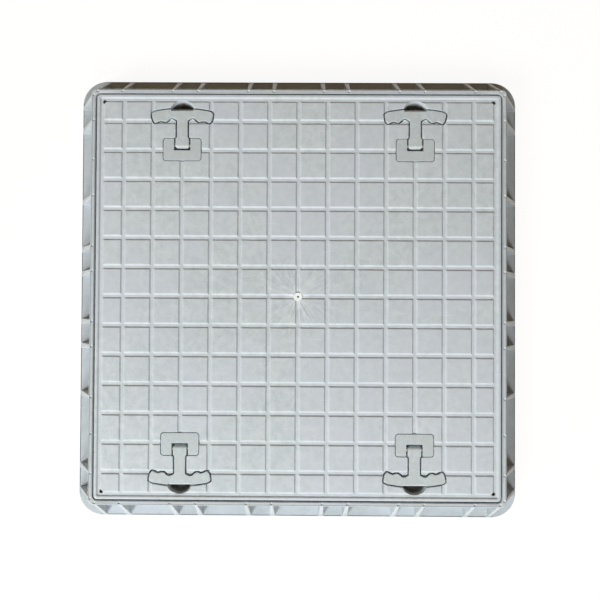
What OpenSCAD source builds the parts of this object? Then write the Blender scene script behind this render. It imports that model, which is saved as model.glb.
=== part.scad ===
// Composite access cover in its flanged frame, with four lifting handles that fold flush.
// The origin is at the middle of the frame's underside and +Z is up. One pair of handles lies
// towards +Y, the back, and one towards -Y, the front. Left is -X. Lengths are in millimetres.
// A handle's parts are drawn in its own frame: u along the grip, v outwards from the pivot
// pin towards the cover's edge, w up, with w = 0 at the walking surface.

/* [Cover] */
// Width of the square cover
cover_w = 636; // [600:1:700]
// Depth of the cover from its walking surface to its underside
cover_depth = 50; // [44:1:64]
// Corner radius of the cover
cover_corner_r = 6; // [3:0.5:12]
// Bevel along the cover's upper edge
cover_bevel = 1; // [0.6:0.1:2.8]
// Thickness of the cover's top
top_t = 14; // [10:0.5:18]
// Thickness of the rim that runs down around the cover
skirt_t = 14; // [10:0.5:18]
// Thickness of the ribs under the cover
rib_t = 5; // [3:0.5:8]
// Distance from one rib to the next
rib_pitch = 68.7; // [50:0.1:72]
// How far the ribs stop above the cover's underside
rib_rise = 4; // [2:0.5:10]

/* [Tread] */
// Distance from one tread groove to the next
groove_pitch = 45.8; // [40:0.1:52]
// Width of a groove at the walking surface
groove_w = 8; // [4:0.1:9]
// Width of a groove at its floor
groove_floor_w = 4.8; // [2:0.1:6]
// Depth of the grooves
groove_depth = 2; // [1:0.1:4]
// Distance from the cover's edge to the middle of the groove that runs around it
edge_groove_inset = 8.8; // [8:0.1:12]
// Diameter of the moulding gate's disc at the middle of the cover
gate_d = 13.4; // [9:0.1:18]
// How far the gate's disc lies below the walking surface
gate_drop = 0.4; // [0.1:0.1:1]
// Diameter of the small hole near each corner
corner_hole_d = 5; // [3:0.1:8]
// Depth of the corner holes
corner_hole_depth = 12; // [5:0.5:30]
// Distance from the cover's edges to the corner holes
corner_hole_inset = 12; // [11:0.5:20]

/* [Frame] */
// Gap between the cover and the frame's wall
edge_gap = 2; // [1:0.5:4]
// Thickness of the frame's wall
wall_t = 7; // [6:0.5:10]
// Corner radius of the wall
wall_corner_r = 8; // [4:0.5:14]
// Bevel along the outside of the wall's upper edge
wall_bevel = 1.2; // [0.6:0.1:3]
// Height of the seat above the frame's underside
seat_h = 12; // [8:0.5:20]
// Width of the seat inside the wall
seat_w = 20; // [17:0.5:30]
// Thickness of the base flange
flange_t = 6; // [4:0.5:8]
// How far the base flange reaches beyond the wall
flange_reach = 33; // [20:0.5:50]
// Corner radius of the base flange
flange_corner_r = 40; // [20:1:60]
// Bevel along the base flange's upper edge
flange_bevel = 1; // [0.4:0.1:2]
// Corner radius of the clear opening
throat_corner_r = 8; // [4:0.5:20]

/* [Gussets] */
// Thickness of the gussets between wall and flange
gusset_t = 5; // [3:0.5:8]
// Distance from the wall's outside to the middle of the last gusset
gusset_corner = 10.2; // [9:0.1:30]
// How far the gussets start below the top of the wall
gusset_drop = 3.5; // [3:0.5:20]
// How far the gussets stop inside the flange's edge
gusset_inset = 2; // [1.5:0.1:8]
// Diameter of the dimples on top of the wall
dimple_d = 4.8; // [3:0.1:5]
// Distance from the wall's outside to the middle of the dimples
dimple_inset = 4; // [3.5:0.1:4.2]

/* [Seal] */
// Thickness of the seal under the cover
seal_t = 3; // [1:0.5:5]
// Width of the seal
seal_w = 12; // [6:0.5:15]
// How far the seal lies inside the cover's edge
seal_inset = 1.5; // [1:0.5:4]

/* [Handles] */
// Number of grooves beside each handle, between its own groove and the cover's edge
handle_grooves_outside = 2; // [2:1:3]
// Distance from the cover's edge to a handle's grip
handle_inset = 23.5; // [22:0.5:40]
// Distance from the pivot pin to the grip's outer edge
handle_reach = 56.2; // [50:0.1:70]
// Width of the grip
grip_w = 96.4; // [90:0.1:120]
// Depth of the grip at its ends
grip_depth = 21.4; // [20:0.2:26]
// How much the grip's outer edge curves back at its ends
grip_bow = 3.4; // [1:0.1:5]
// Distance from one lobe of the grip's inner edge to the next
finger_pitch = 16.3; // [14:0.1:18]
// Distance from the grip's end to the middle of its first lobe
lobe_inset = 5.9; // [5:0.1:7]
// How far the second lobe stops short of the first
lobe_step = 1.8; // [0:0.1:4]
// Depth of the finger groove between the lobes
finger_depth = 3.6; // [2:0.1:6]
// Depth of the finger groove beside the stem
inner_finger_depth = 7.6; // [5:0.1:10]
// Width of the level middle of the grip's outer edge, which is bevelled for a lifting tool
grip_middle_w = 35; // [20:0.5:40]
// Bevel of the middle of the grip's outer edge
grip_bevel = 3; // [1:0.1:5]
// Thickness of a handle
handle_t = 12; // [9:0.5:13]
// Width of the stem
stem_w = 17.1; // [12:0.1:20]
// Width of the foot, which turns on the pin
foot_w = 21.4; // [20:0.1:30]
// Distance from the pin to the foot's shoulders
foot_shoulder = 9.3; // [8:0.1:9.8]
// Length over which the stem widens into the foot
foot_flare = 3.2; // [1:0.1:6]
// Corner radius at the end of the foot
foot_round = 4.4; // [1:0.1:6]
// Gap around a folded handle
handle_gap = 2.1; // [0.8:0.1:2.5]
// Gap between a folded handle and the floor under it
floor_gap = 0.3; // [0.3:0.1:1]

/* [Finger hollows] */
// Radius of the hollow beyond each grip
hollow_r = 20; // [14:0.5:22]
// Distance from the grip's outer edge inwards to the middle of the hollow
hollow_back = 5.7; // [2:0.1:9]
// How far the hollow reaches under the grip
hollow_under = 13; // [8:0.5:14]
// Depth of the hollow
hollow_depth = 22; // [17:0.5:24]
// How far the hollow's wall leans in on its way down
hollow_taper = 4; // [1:0.5:6]
// Thickness of the cover around and under the handle pockets
housing_wall = 5; // [3:0.5:8]

/* [Pivots] */
// Diameter of the pivot pin
pin_d = 6; // [4:0.5:8]
// Length of the pivot pin
pin_length = 50; // [40:0.5:54]
// Running gap around the pin, on its radius
pin_gap = 0.05; // [0.02:0.01:0.1]
// Seating gap between the pin and the half-round seats that hold it, on its radius
pin_seat_gap = 0.02; // [0.01:0.01:0.05]
// Radius of the foot around the pin, which is also how deep the pin lies
foot_r = 5.6; // [5:0.1:8]
// Gap beyond the end of the foot
foot_end_gap = 2.9; // [2.2:0.1:4]
// Gap under the foot
foot_floor_gap = 2; // [0.5:0.5:3]

/* [Retainer plates] */
// Width of the plate that holds a pin down
retainer_w = 59; // [58:0.5:70]
// Length of the plate
retainer_length = 34.7; // [34:0.1:45]
// How far the plate's two legs reach past the pin
retainer_lead = 10; // [7:0.1:10.5]
// Corner radius of the plate
retainer_corner_r = 4.4; // [1:0.1:7]
// Seam around the plate
retainer_seam = 0.9; // [0.3:0.1:1.2]
// Diameter of the two bosses under the plate
boss_d = 12; // [10:0.5:14]
// Height of the bosses
boss_h = 8; // [4:0.5:9]
// Distance from the middle of the plate to each boss
boss_u = 20; // [16:0.5:21]
// Distance from the pin to the bosses
boss_v = 18; // [16:0.5:18.5]
// Gap around a boss
boss_gap = 0.3; // [0.2:0.1:0.8]
// Diameter of the screws into the bosses
screw_d = 6; // [4:0.5:6.5]
// How far the screws reach into the plate and its boss
screw_grip = 10; // [6:0.5:11]
// Diameter of the screw heads
screw_head_d = 12; // [9:0.5:13]
// Height of the screw heads
screw_head_h = 3.6; // [2:0.1:5]
// Clearance around a screw in the cover
screw_gap = 0.4; // [0.1:0.1:1]

/* [Hidden] */
$fn = 64;
lap = 1;           // how far one solid runs into another that it joins, or a cut past its face
thread_gap = 0.05; // between a screw and its bore, on the radius

cover_z = seat_h + seal_t;
frame_h = cover_z + cover_depth;
frame_in = cover_w / 2 + edge_gap;
frame_out = frame_in + wall_t;
flange_out = frame_out + flange_reach;
throat = frame_in - seat_w;

// Gussets stand in pairs, on a grid of eight even steps from the middle of each side.
gusset_pitch = (frame_out - gusset_corner) / 8;
front_steps = [1, 2, 4, 5, 7, 8];
side_steps = [1, 2, 4, 7, 8];
side_dimple_step = 5.43;

edge_groove_at = cover_w / 2 - edge_groove_inset;
groove_n = floor((edge_groove_at - groove_w) / groove_pitch);
groove_slope = (groove_w - groove_floor_w) / 2 / groove_depth;
cavity_half = cover_w / 2 - skirt_t;
rib_n = floor((cavity_half - rib_t) / rib_pitch);

handle_x = (groove_n - handle_grooves_outside) * groove_pitch;
handle_y = cover_w / 2 - handle_inset - handle_reach;
slot_half = foot_w / 2 + handle_gap;
slot_end = foot_r + foot_end_gap;
housing_half = max(grip_w / 2 + handle_gap, retainer_w / 2) + housing_wall;
housing_back = retainer_length - retainer_lead + retainer_seam + housing_wall;
housing_depth = hollow_depth + housing_wall;

// The grip's edge from its level middle around one end to the stem, as points for a curve.
lobe_u = grip_w / 2 - lobe_inset;
lobe_v = handle_reach - grip_depth;
grip_keys = [
  [0, handle_reach],
  [grip_middle_w / 2, handle_reach],
  [(grip_middle_w / 2 + lobe_u) / 2, handle_reach - 0.4 * grip_bow],
  [lobe_u - lobe_inset / 2, handle_reach - 0.85 * grip_bow],
  [lobe_u, handle_reach - grip_bow],
  [grip_w / 2 - lobe_inset / 4, handle_reach - 1.6 * grip_bow],
  [grip_w / 2, handle_reach - 2.4 * grip_bow],
  [grip_w / 2 - lobe_inset / 4, lobe_v + grip_depth / 4],
  [grip_w / 2 - lobe_inset / 2, lobe_v + grip_depth / 9],
  [lobe_u, lobe_v],
  [lobe_u - finger_pitch / 2, lobe_v + finger_depth],
  [lobe_u - finger_pitch, lobe_v + lobe_step],
  [lobe_u - 1.5 * finger_pitch, lobe_v + inner_finger_depth],
  [0.57 * stem_w, lobe_v + 0.65 * inner_finger_depth],
  [stem_w / 2, lobe_v + 0.2 * inner_finger_depth],
  [stem_w / 2, lobe_v - grip_depth / 4],
  [stem_w / 2, lobe_v - grip_depth / 2]
];

function curve_point(a, b, c, d, t) =
  0.5 * (2 * b + (c - a) * t + (2 * a - 5 * b + 4 * c - d) * t * t
         + (3 * b - a - 3 * c + d) * t * t * t);

// A smooth curve through all points of p but its first and last, which only steer it.
function curve(p, steps) = [
  for (i = [1 : len(p) - 3], k = [0 : steps - 1])
    curve_point(p[i - 1], p[i], p[i + 1], p[i + 2], k / steps)
];

function foot_corner(steps) = [
  for (k = [0 : steps])
    [foot_w / 2 - foot_round, foot_round - foot_r]
      + foot_round * [cos(90 * k / steps), -sin(90 * k / steps)]
];

function half_outline() = concat(
  curve(grip_keys, 3),
  [[stem_w / 2, foot_shoulder + foot_flare], [foot_w / 2, foot_shoulder]],
  foot_corner(4)
);

function mirrored(p) = [for (i = [len(p) - 1 : -1 : 0]) [-p[i][0], p[i][1]]];

function handle_outline() = concat(half_outline(), mirrored(half_outline()));

// Every point of a closed clockwise outline moved outwards by g.
function grown(p, g) = [
  for (i = [0 : len(p) - 1])
    let (ahead = p[(i + 1) % len(p)] - p[(i + len(p) - 1) % len(p)])
      p[i] + g * [-ahead[1], ahead[0]] / norm(ahead)
];

// Square outline of half width h with corners of radius r.
module rounded_square(h, r) {
  square([2 * h, 2 * (h - r)], center = true);
  square([2 * (h - r), 2 * h], center = true);
  for (x = [r - h, h - r], y = [r - h, h - r])
    translate([x, y]) circle(r);
}

// Rectangle from [0, 0] to size with corners of radius r.
module rounded_plate(size, r) {
  translate([r, 0]) square([size[0] - 2 * r, size[1]]);
  translate([0, r]) square([size[0], size[1] - 2 * r]);
  for (x = [r, size[0] - r], y = [r, size[1] - r])
    translate([x, y]) circle(r);
}

// Length of a section along X, with the section's own x across and y up.
module along_x(length) {
  rotate([90, 0, 90]) linear_extrude(length, center = true) children();
}

// Square slab of half width h and height t on z = 0, its upper edge bevelled by c.
module bevelled_slab(h, r, t, c) {
  section = [[-h, 0], [h, 0], [h, t - c], [h - c, t], [c - h, t], [-h, t - c]];
  for (turn = [0, 90])
    rotate(turn) along_x(2 * (h - r)) polygon(section);
  for (x = [r - h, h - r], y = [r - h, h - r])
    translate([x, y, 0]) {
      cylinder(t - c, r = r);
      translate([0, 0, t - c]) cylinder(c, r1 = r, r2 = r - c);
    }
}

// Straight tread groove along X, cut down from z = 0.
module groove(length) {
  half = groove_floor_w / 2;
  rise = groove_depth + lap;
  along_x(length)
    polygon([
      [-half, -groove_depth], [half, -groove_depth],
      [half + rise * groove_slope, lap], [-half - rise * groove_slope, lap]
    ]);
}

module tread_grooves() {
  edge_length = 2 * edge_groove_at + groove_floor_w;
  for (turn = [0, 90])
    rotate(turn) {
      for (k = [-groove_n : groove_n])
        translate([0, k * groove_pitch, 0]) groove(2 * edge_groove_at);
      for (side = [-1, 1])
        translate([0, side * edge_groove_at, 0]) groove(edge_length);
    }
}

// Puts a handle's own frame in its place: side_x is -1 at the left, side_y is -1 at the front.
module at_handle(side_x, side_y) {
  translate([side_x * handle_x, side_y * handle_y, frame_h])
    rotate(side_y > 0 ? 0 : 180) children();
}

// Cylinder along u with its middle on the pin's axis.
module on_pin(length, r) {
  translate([0, 0, -foot_r]) rotate([0, 90, 0]) cylinder(length, r = r, center = true);
}

module retainer_outline(grow) {
  back = retainer_length - retainer_lead;
  width = retainer_w + 2 * grow;
  translate([-width / 2, -back - grow])
    rounded_plate([width, retainer_length + 2 * grow], retainer_corner_r + grow);
}

module at_bosses() {
  for (u = [-boss_u, boss_u])
    translate([u, -boss_v, 0]) children();
}

// Round hollow beyond the grip and partly under it, its leaning wall rounded into the floor.
module finger_hollow() {
  wall_keys = [
    [hollow_r + 0.25 * hollow_taper, lap],
    [hollow_r, 0],
    [hollow_r - 0.6 * hollow_taper, -0.6 * hollow_depth],
    [hollow_r - 1.1 * hollow_taper, -0.86 * hollow_depth],
    [hollow_r - 1.8 * hollow_taper, -0.97 * hollow_depth],
    [hollow_r - 3 * hollow_taper, -hollow_depth],
    [0, -hollow_depth]
  ];
  middle = handle_reach - hollow_back;
  intersection() {
    translate([0, middle, 0])
      rotate_extrude()
        polygon(concat([[0, lap], wall_keys[0]], curve(wall_keys, 3), [wall_keys[5], wall_keys[6]]));
    translate([-2 * hollow_r, handle_reach - hollow_under, -2 * hollow_depth])
      cube([4 * hollow_r, 3 * hollow_r, 3 * hollow_depth]);
  }
}

// All that is cut out of the cover for one handle, its plate, pin and screws.
module handle_pocket() {
  pocket_t = handle_t + floor_gap;
  pit_t = 2 * foot_r + foot_floor_gap;
  translate([0, 0, -pocket_t])
    linear_extrude(pocket_t + lap) polygon(grown(handle_outline(), handle_gap));
  translate([-slot_half, -slot_end, -pit_t])
    cube([2 * slot_half, slot_end + foot_shoulder + handle_gap, pit_t + lap]);
  translate([0, 0, -foot_r])
    linear_extrude(foot_r + lap) retainer_outline(retainer_seam);
  on_pin(pin_length + 2 * retainer_seam, pin_d / 2 + pin_seat_gap);
  finger_hollow();
  at_bosses() {
    translate([0, 0, -foot_r - boss_h]) cylinder(boss_h + lap, d = boss_d + 2 * boss_gap);
    translate([0, 0, -housing_depth - lap])
      cylinder(housing_depth, d = screw_d + 2 * screw_gap);
    translate([0, 0, -cover_depth - lap])
      cylinder(cover_depth + lap - housing_depth, d = screw_head_d + 6 * screw_gap);
  }
}

// Solid block under the cover's top that holds a handle's pockets.
module handle_housing() {
  reach = handle_inset + handle_reach - skirt_t / 2;
  translate([-housing_half, -housing_back, -housing_depth])
    cube([2 * housing_half, housing_back + reach, housing_depth - top_t + lap]);
}

module cover_ribs() {
  rib_h = cover_depth - top_t - rib_rise + lap;
  for (turn = [0, 90])
    rotate(turn)
      for (k = [-rib_n : rib_n])
        translate([0, k * rib_pitch, cover_z + rib_rise + rib_h / 2])
          cube([2 * cavity_half + lap, rib_t, rib_h], center = true);
}

module cover() {
  color([0.76, 0.79, 0.80]) {
    difference() {
      union() {
        difference() {
          translate([0, 0, cover_z])
            bevelled_slab(cover_w / 2, cover_corner_r, cover_depth, cover_bevel);
          translate([0, 0, cover_z - lap])
            linear_extrude(cover_depth - top_t + lap) rounded_square(cavity_half, cover_corner_r);
        }
        cover_ribs();
        for (x = [-1, 1], y = [-1, 1])
          at_handle(x, y) handle_housing();
      }
      translate([0, 0, frame_h]) tread_grooves();
      for (x = [-1, 1], y = [-1, 1]) {
        at_handle(x, y) handle_pocket();
        translate([x, y, 0] * (cover_w / 2 - corner_hole_inset) + [0, 0, frame_h - corner_hole_depth])
          cylinder(corner_hole_depth + lap, d = corner_hole_d);
      }
    }
    translate([0, 0, frame_h - groove_depth - lap])
      cylinder(groove_depth + lap - gate_drop, d = gate_d);
  }
}

// Triangular gusset: section x outwards from the wall's outside, y up.
module gusset() {
  foot = flange_reach - gusset_inset;
  top = frame_h - gusset_drop;
  rotate([90, 0, 0])
    linear_extrude(gusset_t, center = true)
      polygon([
        [-wall_t / 2, flange_t / 2], [foot, flange_t / 2], [foot, flange_t + lap],
        [0, top], [-wall_t / 2, top]
      ]);
}

// The gussets of one side, or the dimples above them, at the given steps both ways from the middle.
module along_side(steps, from_middle) {
  for (step = steps, way = [-1, 1])
    translate([from_middle, way * step * gusset_pitch, 0]) children();
}

module dimple() {
  // A shallow bowl, cut by a ball whose middle lies above the wall.
  ball_r = 0.6 * dimple_d;
  rise = sqrt(ball_r * ball_r - dimple_d * dimple_d / 4);
  translate([0, 0, frame_h + rise]) sphere(ball_r);
}

module frame() {
  color([0.74, 0.77, 0.79])
    difference() {
      union() {
        bevelled_slab(flange_out, flange_corner_r, flange_t, flange_bevel);
        bevelled_slab(frame_out, wall_corner_r, frame_h, wall_bevel);
        for (turn = [0, 180]) {
          rotate(turn) along_side(side_steps, frame_out) gusset();
          rotate(turn + 90) along_side(front_steps, frame_out) gusset();
        }
      }
      translate([0, 0, seat_h])
        linear_extrude(cover_depth + seal_t + lap) rounded_square(frame_in, wall_corner_r);
      translate([0, 0, -lap])
        linear_extrude(seat_h + 2 * lap) rounded_square(throat, throat_corner_r);
      for (turn = [0, 180]) {
        rotate(turn) along_side(concat(side_steps, [side_dimple_step]), frame_out - dimple_inset) dimple();
        rotate(turn + 90) along_side(front_steps, frame_out - dimple_inset) dimple();
      }
    }
}

module seat_seal() {
  outside = cover_w / 2 - seal_inset;
  color([0.10, 0.10, 0.11])
    translate([0, 0, seat_h])
      linear_extrude(seal_t)
        difference() {
          rounded_square(outside, cover_corner_r);
          rounded_square(outside - seal_w, cover_corner_r / 2);
        }
}

module handle(side_x, side_y) {
  thick = max(handle_t, 2 * foot_r);
  color([0.72, 0.75, 0.75])
    at_handle(side_x, side_y)
      difference() {
        intersection() {
          translate([0, 0, -thick]) linear_extrude(thick) polygon(handle_outline());
          union() {
            on_pin(foot_w + lap, foot_r);
            translate([-grip_w, 0, -handle_t]) cube([2 * grip_w, 2 * handle_reach, handle_t]);
          }
        }
        on_pin(foot_w + 2 * lap, pin_d / 2 + pin_gap);
        translate([0, handle_reach, 0]) along_x(grip_middle_w)
          polygon([[-grip_bevel, lap], [-grip_bevel, 0], [0, -grip_bevel], [lap, -grip_bevel], [lap, lap]]);
      }
}

module pivot_pin(side_x, side_y) {
  color([0.62, 0.63, 0.65])
    at_handle(side_x, side_y) on_pin(pin_length, pin_d / 2);
}

module retainer_plate(side_x, side_y) {
  color([0.75, 0.78, 0.79])
    at_handle(side_x, side_y)
      difference() {
        union() {
          translate([0, 0, -foot_r])
            linear_extrude(foot_r)
              difference() {
                retainer_outline(0);
                translate([-slot_half, -slot_end]) square([2 * slot_half, 2 * retainer_length]);
              }
          at_bosses() translate([0, 0, -foot_r - boss_h]) cylinder(boss_h + lap, d = boss_d);
        }
        on_pin(pin_length + 2 * retainer_seam, pin_d / 2 + pin_seat_gap);
        at_bosses()
          translate([0, 0, -foot_r - boss_h - lap])
            cylinder(screw_grip + lap, d = screw_d + 2 * thread_gap);
      }
}

module retainer_screws(side_x, side_y) {
  tip = foot_r + boss_h - screw_grip + lap / 2;
  color([0.55, 0.56, 0.58])
    at_handle(side_x, side_y)
      at_bosses()
        translate([0, 0, -housing_depth - screw_head_h]) {
          cylinder(screw_head_h, d = screw_head_d);
          cylinder(housing_depth + screw_head_h - tip, d = screw_d);
        }
}

frame();
seat_seal();
cover();
handle(-1, 1);  // handle_back_left
handle(1, 1);  // handle_back_right
handle(-1, -1);  // handle_front_left
handle(1, -1);  // handle_front_right
pivot_pin(-1, 1);  // pivot_pin_back_left
pivot_pin(1, 1);  // pivot_pin_back_right
pivot_pin(-1, -1);  // pivot_pin_front_left
pivot_pin(1, -1);  // pivot_pin_front_right
retainer_plate(-1, 1);  // retainer_plate_back_left
retainer_plate(1, 1);  // retainer_plate_back_right
retainer_plate(-1, -1);  // retainer_plate_front_left
retainer_plate(1, -1);  // retainer_plate_front_right
retainer_screws(-1, 1);  // retainer_screws_back_left
retainer_screws(1, 1);  // retainer_screws_back_right
retainer_screws(-1, -1);  // retainer_screws_front_left
retainer_screws(1, -1);  // retainer_screws_front_right
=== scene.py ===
import math
import bpy
import bmesh
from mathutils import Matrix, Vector


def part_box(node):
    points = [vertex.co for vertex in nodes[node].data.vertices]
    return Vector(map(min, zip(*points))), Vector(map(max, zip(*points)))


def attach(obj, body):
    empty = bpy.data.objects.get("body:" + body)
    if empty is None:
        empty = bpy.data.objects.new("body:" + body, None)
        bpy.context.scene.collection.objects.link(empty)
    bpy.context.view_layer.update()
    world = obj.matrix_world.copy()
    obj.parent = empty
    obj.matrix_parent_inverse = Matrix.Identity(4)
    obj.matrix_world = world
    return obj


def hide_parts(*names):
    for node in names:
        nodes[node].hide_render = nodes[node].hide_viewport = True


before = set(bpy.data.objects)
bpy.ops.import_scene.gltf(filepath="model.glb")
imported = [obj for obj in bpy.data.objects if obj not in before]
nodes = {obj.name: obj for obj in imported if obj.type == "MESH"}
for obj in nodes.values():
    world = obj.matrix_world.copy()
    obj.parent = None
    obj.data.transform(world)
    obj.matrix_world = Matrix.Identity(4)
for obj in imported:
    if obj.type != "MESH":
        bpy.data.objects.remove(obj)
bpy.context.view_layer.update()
spots = ("back_left", "back_right", "front_left", "front_right")
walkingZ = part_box("cover")[1].z


def deselectAll():
    if bpy.context.object and bpy.context.object.mode != "OBJECT":
        bpy.ops.object.mode_set(mode="OBJECT")
    bpy.ops.object.select_all(action="DESELECT")


def select(piece):
    deselectAll()
    piece.select_set(True)
    bpy.context.view_layer.objects.active = piece


# the camera looks straight down, as in the photo
view = {
    "place": (-0.00051, -0.03961, 1.048),
    "turn": (0.837, 0.358, 0.317),      # degrees, the photo's camera isn't quite level
    "lens": 37.71,
    "sensor": 36,
    "shift": (0.0109, 0.02145),
    "nearest": 0.02,
}
bpy.ops.object.camera_add(location=view["place"],
                          rotation=[math.radians(angle) for angle in view["turn"]])
camera = bpy.context.object
camera.name = "mainCamera"
camera.data.lens = view["lens"]
camera.data.sensor_width = view["sensor"]
camera.data.shift_x, camera.data.shift_y = view["shift"]
camera.data.clip_start = view["nearest"]
bpy.context.scene.camera = camera
bpy.context.scene.view_settings.view_transform = "Standard"
print("camera placed")

# a soft main lamp from the front left, a smaller one from the front, and a faint warm one behind
light = {
    "keyFrom": (-0.90, -0.92, 1.05), "keyFar": 5.2, "keySize": 2.0,
    "keyPower": 232, "keyColour": (1.0, 1.0, 1.0),
    "frontFrom": (0.16, -1.0, 0.95), "frontFar": 3.8, "frontSize": 1.3,
    "frontPower": 62, "frontColour": (1.0, 1.0, 1.0),
    "backFrom": (-0.40, 0.90, 0.75), "backFar": 2.4, "backSize": 1.0,
    "backPower": 1.5, "backColour": (1.0, 0.52, 0.14),
    "skyColour": (1.0, 0.58, 0.22), "skyStrength": 0.12,     # the brown in the shaded walls
    "whiteFloor": 0.80, "whiteLevel": 1.16,     # how much of the floor's own shade gives way to white
}


def addSoftLamp(name):
    deselectAll()
    place = Vector(light[name + "From"]).normalized() * light[name + "Far"]
    bpy.ops.object.light_add(type="AREA", location=place)
    lamp = bpy.context.object
    lamp.name = name + "Lamp"
    lamp.data.shape = "DISK"
    lamp.data.size = light[name + "Size"]
    lamp.data.energy = light[name + "Power"]
    lamp.data.color = light[name + "Colour"]
    lamp.rotation_euler = (-place).to_track_quat("-Z", "Y").to_euler()


for lampName in ("key", "front", "back"):
    addSoftLamp(lampName)


def newMaterial(name):
    mat = bpy.data.materials.new(name)
    mat.use_nodes = True
    return mat, mat.node_tree, mat.node_tree.nodes["Principled BSDF"]


def addNode(tree, kind, **settings):
    node = tree.nodes.new("ShaderNode" + kind)
    for key, value in settings.items():
        if hasattr(node, key):
            setattr(node, key, value)
        else:
            node.inputs[key.replace("_", " ")].default_value = value
    return node


def join(tree, source, target):
    tree.links.new(source, target)


def work(tree, operation, a, b):
    node = addNode(tree, "Math", operation=operation)
    for socket, value in zip(node.inputs, (a, b)):
        if isinstance(value, (int, float)):
            socket.default_value = value
        else:
            join(tree, value, socket)
    return node.outputs[0]


def seenDirectly(tree):
    # 1 for the camera and for what gloss and glass show, so that they meet the same white
    path = addNode(tree, "LightPath")
    mirrored = work(tree, "MAXIMUM", path.outputs["Is Glossy Ray"], path.outputs["Is Transmission Ray"])
    return work(tree, "MAXIMUM", path.outputs["Is Camera Ray"], mirrored)


world = bpy.data.worlds.new("studioSky")
bpy.context.scene.world = world
world.use_nodes = True
tree = world.node_tree
sky = tree.nodes["Background"]
sky.inputs["Color"].default_value = (*light["skyColour"], 1)
sky.inputs["Strength"].default_value = light["skyStrength"]
white = addNode(tree, "Background", Color=(1, 1, 1, 1), Strength=1.0)
mixSky = addNode(tree, "MixShader")
join(tree, seenDirectly(tree), mixSky.inputs["Fac"])
join(tree, sky.outputs[0], mixSky.inputs[1])
join(tree, white.outputs[0], mixSky.inputs[2])
join(tree, mixSky.outputs[0], tree.nodes["World Output"].inputs["Surface"])

ground = {"size": 9, "drop": 0.0003, "colour": (0.50, 0.45, 0.38), "roughness": 0.9}
deselectAll()
bpy.ops.mesh.primitive_plane_add(size=ground["size"], location=(0, 0, -ground["drop"]))
floor = bpy.context.object
floor.name = "studioFloor"
floorMat, tree, bsdf = newMaterial("paleFloor")
bsdf.inputs["Base Color"].default_value = (*ground["colour"], 1)
bsdf.inputs["Roughness"].default_value = ground["roughness"]
glow = addNode(tree, "Emission", Color=(1, 1, 1, 1), Strength=light["whiteLevel"])
mixFloor = addNode(tree, "MixShader")
join(tree, work(tree, "MULTIPLY", seenDirectly(tree), light["whiteFloor"]), mixFloor.inputs["Fac"])
join(tree, bsdf.outputs[0], mixFloor.inputs[1])
join(tree, glow.outputs[0], mixFloor.inputs[2])
join(tree, mixFloor.outputs[0], tree.nodes["Material Output"].inputs["Surface"])
floor.data.materials.append(floorMat)
print("light and floor ready")


def noise(tree, vector, scale, detail=4.0, roughness=0.55, distortion=0.0):
    node = addNode(tree, "TexNoise", Scale=scale, Detail=detail, Roughness=roughness, Distortion=distortion)
    join(tree, vector, node.inputs["Vector"])
    return node.outputs["Fac"]


def around(tree, source, depth):
    # a pattern moved to lie evenly above and below nought
    return work(tree, "MULTIPLY", work(tree, "SUBTRACT", source, 0.5), depth)


def ramp(tree, source, stops):
    node = addNode(tree, "ValToRGB")
    while len(node.color_ramp.elements) < len(stops):
        node.color_ramp.elements.new(0.5)
    for element, (at, colour) in zip(node.color_ramp.elements, stops):
        element.position = at
        element.color = (*colour, 1)
    join(tree, source, node.inputs["Fac"])
    return node.outputs["Color"]


def span(tree, source, low, high, newLow, newHigh):
    node = addNode(tree, "MapRange")
    for name, value in zip(("From Min", "From Max", "To Min", "To Max"), (low, high, newLow, newHigh)):
        node.inputs[name].default_value = value
    join(tree, source, node.inputs["Value"])
    return node.outputs["Result"]


def tintOver(tree, factor, under, colour):
    node = addNode(tree, "Mix", data_type="RGBA", blend_type="MIX")
    join(tree, factor, node.inputs["Factor"])
    join(tree, under, node.inputs[6])
    node.inputs[7].default_value = (*colour, 1)
    return node.outputs[2]


def stretched(tree, place, turn, stretch):
    node = addNode(tree, "Mapping")
    node.inputs["Rotation"].default_value = [math.radians(angle) for angle in turn]
    node.inputs["Scale"].default_value = stretch
    join(tree, place, node.inputs["Vector"])
    return node.outputs["Vector"]


def flowMarksAndSheen(tree, place, gateAt, count, along):
    # streaks that run out from the moulding gate, and the distance from it; the streaks give the flow marks'
    # relief and their colour, which is partly a painted sheen
    moved = addNode(tree, "VectorMath", operation="SUBTRACT")
    join(tree, place, moved.inputs[0])
    moved.inputs[1].default_value = (*gateAt, 0)
    apart = addNode(tree, "SeparateXYZ")
    join(tree, moved.outputs["Vector"], apart.inputs[0])
    flat = addNode(tree, "CombineXYZ")
    join(tree, apart.outputs["X"], flat.inputs["X"])
    join(tree, apart.outputs["Y"], flat.inputs["Y"])
    way = addNode(tree, "VectorMath", operation="NORMALIZE")
    join(tree, flat.outputs[0], way.inputs[0])
    reach = addNode(tree, "VectorMath", operation="LENGTH")
    join(tree, flat.outputs[0], reach.inputs[0])
    turned = addNode(tree, "VectorMath", operation="SCALE", Scale=count)
    join(tree, way.outputs["Vector"], turned.inputs[0])
    lift = addNode(tree, "CombineXYZ")
    join(tree, work(tree, "MULTIPLY", reach.outputs["Value"], along), lift.inputs["Z"])
    total = addNode(tree, "VectorMath", operation="ADD")
    join(tree, turned.outputs["Vector"], total.inputs[0])
    join(tree, lift.outputs[0], total.inputs[1])
    streak = noise(tree, total.outputs["Vector"], 1.0, detail=5.0, roughness=0.6, distortion=0.6)
    return streak, reach.outputs["Value"]


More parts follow.
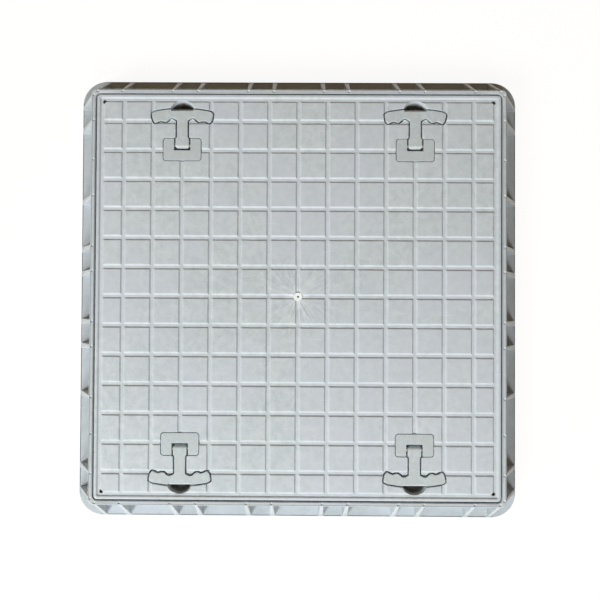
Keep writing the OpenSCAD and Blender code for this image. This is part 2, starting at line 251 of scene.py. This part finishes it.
def paintedRecessShade(tree, place, look, spread):
    # painted shade: how darkly the deep parts of the four finger hollows, or of the four corner holes, are
    # painted, in uneven patches
    folded = addNode(tree, "VectorMath", operation="ABSOLUTE")
    join(tree, place, folded.inputs[0])
    apart = addNode(tree, "SeparateXYZ")
    join(tree, folded.outputs[0], apart.inputs[0])
    flat = addNode(tree, "CombineXYZ")
    join(tree, apart.outputs["X"], flat.inputs["X"])
    join(tree, apart.outputs["Y"], flat.inputs["Y"])
    away = addNode(tree, "VectorMath", operation="DISTANCE")
    join(tree, flat.outputs[0], away.inputs[0])
    away.inputs[1].default_value = (*spread["at"], 0)
    inside = span(tree, away.outputs["Value"], spread["reach"] * look["recessShadeSolid"], spread["reach"], 1.0, 0.0)
    deep = span(tree, apart.outputs["Z"], walkingZ - spread["full"], walkingZ - spread["top"], 1.0, 0.0)
    uneven = span(tree, noise(tree, place, look["mottle"]), *look["recessShadePatch"], look["recessShadeLeast"], 1.0)
    return work(tree, "MULTIPLY", work(tree, "MULTIPLY", inside, deep), uneven)


def compositeSkin(name, look):
    # moulded glass-reinforced plastic: clouds, mottling, specks, flow marks whose colour is partly a painted
    # sheen, rubbed marks and a fine grain
    mat, tree, bsdf = newMaterial(name)
    place = addNode(tree, "TexCoord").outputs["Object"]
    mottle = noise(tree, place, look["mottle"], detail=6.0, roughness=0.62, distortion=0.4)
    tone = around(tree, noise(tree, place, look["cloud"], detail=3.0), look["cloudDepth"])
    tone = work(tree, "ADD", tone, around(tree, mottle, look["mottleDepth"]))
    speck = noise(tree, place, look["speck"], detail=3.0, roughness=0.7)
    tone = work(tree, "ADD", tone, around(tree, speck, look["speckDepth"]))
    height = work(tree, "MULTIPLY", mottle, look["wave"])
    if look["flowAndSheen"]:
        streak, reach = flowMarksAndSheen(tree, place, look["gateAt"], look["flowCount"], look["flowAlong"])
        near = span(tree, reach, look["flowStart"], look["flowEnd"], 1.0, look["flowFar"])
        # flow marks painted into the colour: partly the streaks' own tone, partly a painted sheen
        tone = work(tree, "ADD", tone, work(tree, "MULTIPLY", around(tree, streak, look["flowAndSheen"]), near))
        whitened = span(tree, reach, look["gateStart"], look["gateEnd"], look["gateWhite"], 0.0)
        tone = work(tree, "ADD", tone, work(tree, "MULTIPLY", whitened, streak))
        if look["pitRadius"]:
            pitStart, pitEnd = (look["pitRadius"] * part for part in look["pitEdge"])
            pit = span(tree, reach, pitStart, pitEnd, -1.0, 0.0)
            tone = work(tree, "ADD", tone, pit)
        height = work(tree, "ADD", height, work(tree, "MULTIPLY", streak, look["wave"]))
    if look["lowDark"]:
        apart = addNode(tree, "SeparateXYZ")
        join(tree, place, apart.inputs[0])
        low = span(tree, apart.outputs["Z"], *look["lowSpan"], -look["lowDark"], 0.0)
        tone = work(tree, "ADD", tone, low)
    tone = work(tree, "ADD", tone, 0.5)
    body = ramp(tree, tone, ((0.0, look["dark"]), (0.5, look["base"]), (1.0, look["light"])))
    hue = span(tree, noise(tree, place, look["hue"], detail=2.0), *look["hueSpan"], 0.0, look["hueDepth"])
    body = tintOver(tree, hue, body, look["tint"])
    for turn in look["rubTurns"]:
        along = stretched(tree, place, (0, 0, turn), look["rubStretch"])
        thin = noise(tree, along, 1.0, detail=2.0, roughness=0.4)
        rubbed = span(tree, thin, look["rubFrom"], look["rubFrom"] + look["rubEdge"], 0.0, look["rub"])
        body = tintOver(tree, rubbed, body, look["light"])
    # painted shade: a dark brown painted deep in the finger hollows and corner holes
    if look["recessShade"]:
        for spread in (look["hollow"], look["hole"]):
            body = tintOver(tree, paintedRecessShade(tree, place, look, spread), body, look["recessShade"])
    join(tree, body, bsdf.inputs["Base Color"])
    bsdf.inputs["Specular IOR Level"].default_value = look["shine"]
    dull = span(tree, mottle, *look["glossSpan"], look["gloss"], look["gloss"] + look["glossSpread"])
    join(tree, dull, bsdf.inputs["Roughness"])
    grain = noise(tree, place, look["grain"], detail=2.0, roughness=0.5)
    grain = work(tree, "MULTIPLY", grain, look["grainDepth"])
    bump = addNode(tree, "Bump", Strength=look["bump"], Distance=look["relief"])
    join(tree, work(tree, "ADD", height, grain), bump.inputs["Height"])
    join(tree, bump.outputs[0], bsdf.inputs["Normal"])
    return mat


# a number that names a pattern is its scale, and its Depth how strongly it shows; lengths are in metres
coverLook = {
    "base": (0.532, 0.603, 0.640), "light": (0.700, 0.765, 0.800), "dark": (0.365, 0.432, 0.470),
    "tint": (0.540, 0.605, 0.680), "hue": 9.0, "hueDepth": 0.5, "hueSpan": (0.42, 0.62),
    "cloud": 6.0, "cloudDepth": 0.25, "mottle": 95.0, "mottleDepth": 0.85, "wave": 0.5,
    "speck": 620.0, "speckDepth": 0.65,
    # flow: how strongly the flow marks show in colour, partly their own tone and partly a painted sheen
    "flowAndSheen": 2.4, "flowCount": 13.0, "flowAlong": 45.0, "flowStart": 0.018, "flowEnd": 0.065, "flowFar": 0.12,
    "gateAt": (0.0, 0.0), "gateWhite": 0.9, "gateStart": 0.008, "gateEnd": 0.021,
    "pitRadius": 0.0, "pitEdge": (0.8, 1.2), "lowDark": 0.0, "lowSpan": (0.010, 0.022),
    # the colour, patchiness and place of the painted shade deep in the finger hollows and corner holes
    "recessShade": (0.110, 0.092, 0.062), "recessShadeSolid": 0.95, "recessShadePatch": (0.35, 0.65), "recessShadeLeast": 0.65,
    "hollow": {"at": (0.1832, 0.2935), "reach": 0.027, "top": 0.0060, "full": 0.0115},
    "hole": {"at": (0.306, 0.306), "reach": 0.0034, "top": 0.0002, "full": 0.0010},
    "rubTurns": (24, -58), "rubStretch": (22, 700, 60), "rubFrom": 0.70, "rubEdge": 0.05, "rub": 0.5,
    "shine": 0.40, "gloss": 0.36, "glossSpread": 0.12, "glossSpan": (0.3, 0.7),
    "grain": 1500.0, "grainDepth": 0.5, "bump": 0.30, "relief": 0.0004,
}
frameLook = dict(coverLook, base=(0.508, 0.568, 0.592), mottle=70.0, mottleDepth=0.6, flowAndSheen=0.0,
                 lowDark=0.26, recessShade=None, shine=0.22, bump=0.25)
handleLook = dict(coverLook, base=(0.490, 0.570, 0.600), tint=(0.480, 0.530, 0.520), hue=70.0, hueDepth=0.45,
                  mottle=190.0, mottleDepth=0.9, speck=900.0, speckDepth=0.8, flowAndSheen=0.0, recessShade=None,
                  gloss=0.42, bump=0.4)
plateLook = dict(handleLook, base=(0.480, 0.555, 0.590), mottle=140.0, mottleDepth=0.8)
gateLook = dict(coverLook, base=(0.90, 0.98, 1.0), light=(0.94, 1.0, 1.0), dark=(0.06, 0.06, 0.055),
                hueDepth=0.0, cloudDepth=0.0, mottleDepth=0.10, speckDepth=0.12, flowAndSheen=0.12, flowStart=0.001,
                flowEnd=0.02, flowFar=1.0, gateAt=(0.0003, -0.0001), gateWhite=0.0, pitRadius=0.0015, recessShade=None)
coverMat = compositeSkin("coverComposite", coverLook)
frameMat = compositeSkin("frameComposite", frameLook)
handleMat = compositeSkin("handleComposite", handleLook)
plateMat = compositeSkin("plateComposite", plateLook)
gateMat = compositeSkin("gateComposite", gateLook)
print("composite finishes ready")


def turnedSteel(name, look):
    # drawn or turned steel, its fine marks running along or round the axis
    mat, tree, bsdf = newMaterial(name)
    place = addNode(tree, "TexCoord").outputs["Object"]
    along = stretched(tree, place, (0, 0, 0), look["stretch"])
    lines = noise(tree, along, look["lines"], detail=5.0, roughness=0.6)
    stain = noise(tree, place, look["stain"], detail=3.0)
    shade = work(tree, "ADD", work(tree, "MULTIPLY", lines, look["lineShare"]),
                 work(tree, "MULTIPLY", stain, look["stainShare"]))
    metal = ramp(tree, shade, ((0.25, look["dark"]), (0.5, look["base"]), (0.8, look["light"])))
    join(tree, metal, bsdf.inputs["Base Color"])
    bsdf.inputs["Metallic"].default_value = 1.0
    dull = span(tree, lines, *look["glossSpan"], look["gloss"], look["gloss"] + look["glossSpread"])
    join(tree, dull, bsdf.inputs["Roughness"])
    bump = addNode(tree, "Bump", Strength=look["bump"], Distance=look["relief"])
    join(tree, lines, bump.inputs["Height"])
    join(tree, bump.outputs[0], bsdf.inputs["Normal"])
    return mat


pinLook = {"base": (0.24, 0.24, 0.23), "dark": (0.13, 0.13, 0.12), "light": (0.36, 0.36, 0.35),
           "stretch": (1.0, 24.0, 24.0), "lines": 90.0, "lineShare": 0.6, "stain": 160.0, "stainShare": 0.4,
           "gloss": 0.40, "glossSpread": 0.16, "glossSpan": (0.3, 0.7), "bump": 0.25, "relief": 0.0001}
screwLook = dict(pinLook, base=(0.52, 0.53, 0.54), dark=(0.34, 0.35, 0.36), light=(0.68, 0.68, 0.68),
                 stretch=(1.0, 1.0, 30.0), lines=120.0, gloss=0.32)
pinMat = turnedSteel("pinSteel", pinLook)
screwMat = turnedSteel("screwSteel", screwLook)

sealLook = {"base": (0.030, 0.030, 0.032), "dust": (0.085, 0.082, 0.078), "dustSpan": (0.45, 0.75),
            "patch": 130.0, "gloss": (0.55, 0.8), "glossSpan": (0.3, 0.7),
            "grain": 900.0, "bump": 0.4, "relief": 0.0002}
sealMat, tree, bsdf = newMaterial("sealRubber")
place = addNode(tree, "TexCoord").outputs["Object"]
dust = noise(tree, place, sealLook["patch"], detail=5.0, roughness=0.65)
dusty = ramp(tree, dust, tuple(zip(sealLook["dustSpan"], (sealLook["base"], sealLook["dust"]))))
join(tree, dusty, bsdf.inputs["Base Color"])
join(tree, span(tree, dust, *sealLook["glossSpan"], *sealLook["gloss"]), bsdf.inputs["Roughness"])
bump = addNode(tree, "Bump", Strength=sealLook["bump"], Distance=sealLook["relief"])
join(tree, noise(tree, place, sealLook["grain"], detail=3.0), bump.inputs["Height"])
join(tree, bump.outputs[0], bsdf.inputs["Normal"])
print("steel and rubber finishes ready")


meshing = {"weld": 0.000002, "same": 0.00002, "smoothTo": 40}     # metres, metres, degrees


def mergedCopy(nodeName, pieceName):
    mesh = nodes[nodeName].data.copy()
    mesh.name = pieceName
    piece = bpy.data.objects.new(pieceName, mesh)
    bpy.context.scene.collection.objects.link(piece)
    select(piece)
    if mesh.has_custom_normals:
        bpy.ops.mesh.customdata_custom_splitnormals_clear()
    bpy.ops.object.mode_set(mode="EDIT")
    bpy.ops.mesh.select_all(action="SELECT")
    bpy.ops.mesh.remove_doubles(threshold=meshing["weld"])
    bpy.ops.object.mode_set(mode="OBJECT")
    return piece


def pickFaces(piece, wanted):
    select(piece)
    bpy.ops.object.mode_set(mode="EDIT")
    bpy.ops.mesh.select_mode(type="FACE")
    bpy.ops.mesh.select_all(action="DESELECT")
    shape = bmesh.from_edit_mesh(piece.data)
    for face in shape.faces:
        if wanted(face):
            face.select_set(True)
    bmesh.update_edit_mesh(piece.data)


def anyEdge(edge):
    return True


def roundEdges(piece, trim, wanted=anyEdge):
    select(piece)
    bpy.ops.object.mode_set(mode="EDIT")
    bpy.ops.mesh.select_mode(type="EDGE")
    bpy.ops.mesh.select_all(action="DESELECT")
    shape = bmesh.from_edit_mesh(piece.data)
    for edge in shape.edges:
        folded = len(edge.link_faces) == 2 and edge.calc_face_angle(0) > math.radians(trim["from"])
        if folded and wanted(edge):
            edge.select_set(True)
    bmesh.update_edit_mesh(piece.data)
    bpy.ops.mesh.bevel(offset=trim["edge"], offset_type="OFFSET", segments=trim["steps"], profile=0.5,
                       affect="EDGES", clamp_overlap=False, miter_outer="SHARP", loop_slide=False)
    bpy.ops.object.mode_set(mode="OBJECT")
    for corner in piece.data.vertices:      # where small edges meet, a bevel can stand proud
        corner.co.z = min(corner.co.z, walkingZ)


def finishSmooth(piece):
    select(piece)
    bpy.ops.object.shade_smooth_by_angle(angle=math.radians(meshing["smoothTo"]))
    weighted = piece.modifiers.new("evenNormals", "WEIGHTED_NORMAL")
    weighted.keep_sharp = True
    bpy.ops.object.modifier_apply(modifier=weighted.name)


def wear(piece, material, body, nodeName=None):
    piece.data.materials.clear()
    piece.data.materials.append(material)
    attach(piece, body)
    if nodeName:
        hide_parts(nodeName)


def middle(edge):
    return (edge.verts[0].co + edge.verts[1].co) / 2


# the frame: rim, wall, seat, foot flange and its gussets
frameTrim = {"edge": 0.0009, "steps": 2, "from": 28, "shortest": 0.0004}
gussetDraft = {"foot": 0.358, "footZ": 0.007, "topZ": 0.0615, "wall": 0.327, "flatTo": 0.319,
               "half": 0.0025, "slope": 0.026}
rim = mergedCopy("frame", "frameShell")


def near(a, b):
    return abs(a - b) < meshing["same"]


def draftGussets(piece, draft):
    # a moulded gusset grows thicker towards its foot
    corners = piece.data.vertices
    for out, along in ((0, 1), (1, 0)):
        for side in (-1, 1):
            feet = sorted(corner.co[along] for corner in corners
                          if near(corner.co[out] * side, draft["foot"]) and near(corner.co.z, draft["footZ"]))
            middles = [(feet[at] + feet[at + 1]) / 2 for at in range(0, len(feet) - 1, 2)]
            for corner in corners:
                at = corner.co[along]
                inside = corner.co[out] * side < draft["wall"] - meshing["same"]
                if inside or abs(at) > draft["flatTo"] or corner.co.z > draft["topZ"]:
                    continue
                for centre in middles:
                    if near(abs(at - centre), draft["half"]):
                        more = draft["slope"] * (draft["topZ"] - corner.co.z)
                        corner.co[along] += math.copysign(more, at - centre)


draftGussets(rim, gussetDraft)
# the dimples' bowls have shorter edges, and stay as they are
roundEdges(rim, frameTrim, lambda edge: edge.calc_length() > frameTrim["shortest"])
finishSmooth(rim)
wear(rim, frameMat, "root", "frame")
print("frame dressed", len(rim.data.polygons))

# the cover: its edge, grooves and pockets, but not the gate's step, the corner holes
# or the slivers of groove beside the handles' stems
coverTrim = {"edge": 0.0008, "steps": 2, "from": 28, "gate": 0.0085, "holeAt": 0.306, "hole": 0.0038,
             "sliverX": (0.1687, 0.1977), "sliverY": 0.2775, "sliver": 0.0062}
lid = mergedCopy("cover", "coverShell")


def coverEdge(edge):
    at = middle(edge)
    atGate = math.hypot(at.x, at.y) < coverTrim["gate"]
    aside, beyond = abs(at.x) - coverTrim["holeAt"], abs(at.y) - coverTrim["holeAt"]
    atHole = math.hypot(aside, beyond) < coverTrim["hole"]
    along = abs(at.y) - coverTrim["sliverY"]
    atSliver = any(math.hypot(abs(at.x) - x, along) < coverTrim["sliver"] for x in coverTrim["sliverX"])
    return not (atGate or atHole or atSliver)


roundEdges(lid, coverTrim, coverEdge)
finishSmooth(lid)
wear(lid, coverMat, "root", "cover")
print("cover dressed", len(lid.data.polygons))

# the white scar where the cover was filled in its mould, with the sprue's broken end as a dark pit
gateScar = {"place": (0.0003, -0.0001), "below": 0.0001, "radius": 0.0063, "thick": 0.0012, "sides": 48,
            "rim": 0.0011, "step": 0.000275, "dish": 0.00012, "pit": 0.0035, "pitDepth": 0.00015}
deselectAll()
scarZ = walkingZ - gateScar["below"] - gateScar["thick"] / 2
bpy.ops.mesh.primitive_cylinder_add(vertices=gateScar["sides"], radius=gateScar["radius"],
                                    depth=gateScar["thick"], location=(*gateScar["place"], scarZ))
scar = bpy.context.object
scar.name = "gateScar"
pickFaces(scar, lambda face: face.normal.z > 0.9)
bpy.ops.mesh.inset(thickness=gateScar["rim"], depth=0)
bpy.ops.mesh.inset(thickness=gateScar["step"], depth=-gateScar["dish"])
bpy.ops.mesh.inset(thickness=gateScar["pit"], depth=0)
bpy.ops.mesh.inset(thickness=gateScar["step"], depth=-gateScar["pitDepth"])
bpy.ops.object.mode_set(mode="OBJECT")
select(scar)
bpy.ops.object.transform_apply(location=True, rotation=False, scale=False)
finishSmooth(scar)
wear(scar, gateMat, "root")
print("gate scar made")

# the four handles with their plates, pins and screws
handleTrim = {"edge": 0.0008, "steps": 3, "from": 50}
plateTrim = {"edge": 0.0008, "steps": 2, "from": 28}
pinTrim = {"edge": 0.0005, "steps": 2, "from": 50}
screwHead = {"flat": 0.0001, "sides": 6, "socket": 0.0029, "socketDepth": 0.0022}


def cutSockets(piece, head):
    # a six-sided socket in the underside of each of the two heads
    low = min(corner.co.z for corner in piece.data.vertices)
    heads = [corner.co for corner in piece.data.vertices if corner.co.z < low + head["flat"]]
    middleX = sum(co.x for co in heads) / len(heads)
    for side in (-1, 1):
        face = [co for co in heads if (co.x - middleX) * side > 0]
        at = sum(face, Vector()) / len(face)
        deselectAll()
        bpy.ops.mesh.primitive_cylinder_add(vertices=head["sides"], radius=head["socket"],
                                            depth=head["socketDepth"] * 2, location=(at.x, at.y, low))
        cutter = bpy.context.object
        select(piece)
        cut = piece.modifiers.new("socket", "BOOLEAN")
        cut.operation = "DIFFERENCE"
        cut.solver = "EXACT"
        cut.object = cutter
        bpy.ops.object.modifier_apply(modifier=cut.name)
        select(cutter)
        bpy.ops.object.delete()


for spot in spots:
    handle = mergedCopy("handle_" + spot, "handleShell_" + spot)
    roundEdges(handle, handleTrim)
    finishSmooth(handle)
    wear(handle, handleMat, "handle_%s_body" % spot, "handle_" + spot)
    plate = mergedCopy("retainer_plate_" + spot, "plateShell_" + spot)
    roundEdges(plate, plateTrim)
    finishSmooth(plate)
    wear(plate, plateMat, "root", "retainer_plate_" + spot)
    pin = mergedCopy("pivot_pin_" + spot, "pinShell_" + spot)
    roundEdges(pin, pinTrim)
    finishSmooth(pin)
    wear(pin, pinMat, "root", "pivot_pin_" + spot)
    screws = mergedCopy("retainer_screws_" + spot, "screwShells_" + spot)
    cutSockets(screws, screwHead)
    finishSmooth(screws)
    wear(screws, screwMat, "root", "retainer_screws_" + spot)
print("handles, plates, pins and screws dressed")

# the rubber strip under the cover's edge
sealTrim = {"edge": 0.0005, "steps": 2, "from": 28}
seal = mergedCopy("seat_seal", "sealStrip")
roundEdges(seal, sealTrim)
finishSmooth(seal)
wear(seal, sealMat, "root", "seat_seal")
print("seal dressed")
